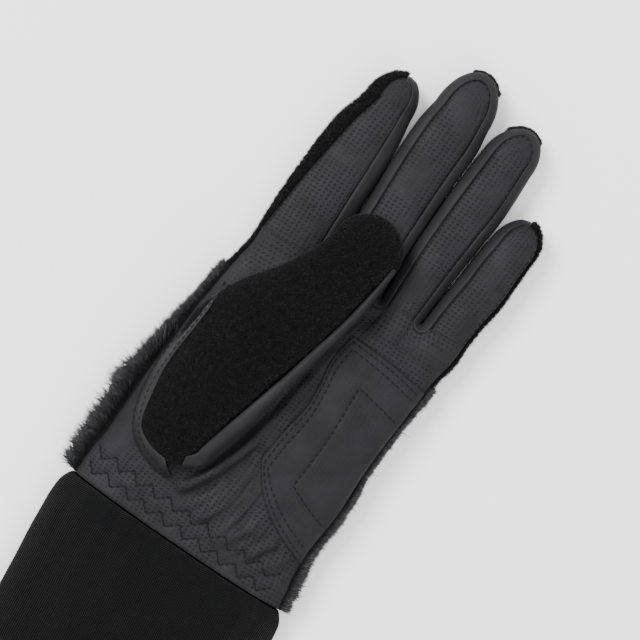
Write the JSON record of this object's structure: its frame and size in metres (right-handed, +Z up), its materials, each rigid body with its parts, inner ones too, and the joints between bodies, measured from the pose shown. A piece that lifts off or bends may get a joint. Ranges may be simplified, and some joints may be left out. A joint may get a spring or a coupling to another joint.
{
  "type": "golf glove",
  "caption": "Left-hand winter golf glove lying palm up: leather palm with heel patch, fleece finger backs and thumb, deep fur hand back and knitted cuff.",
  "frame": {"origin": "on the flat face that the glove rests on, under the middle of the hand back", "axes": "+Y along the fingers, +X from the thumb's side to the little finger's side, +Z up out of the palm"},
  "size_m": [0.1046, 0.2606, 0.0338],
  "materials": {
    "leather": "soft matt synthetic leather, dimpled in rows",
    "patch_leather": "smooth matt synthetic leather",
    "fleece": "short dense fleece pile",
    "fur": "long shaggy pile",
    "knit": "fine ribbed stretch knit"
  },
  "bodies": {
    "root": {"palm_leather": "leather", "fourchette_index_middle": "leather", "fourchette_middle_ring": "leather", "fourchette_ring_little": "leather", "thumb_leather": "leather", "heel_patch": "patch_leather", "finger_back_fleece": "fleece", "thumb_fleece": "fleece", "back_fur": "fur", "knit_cuff": "knit"}
  },
  "joints": []
}
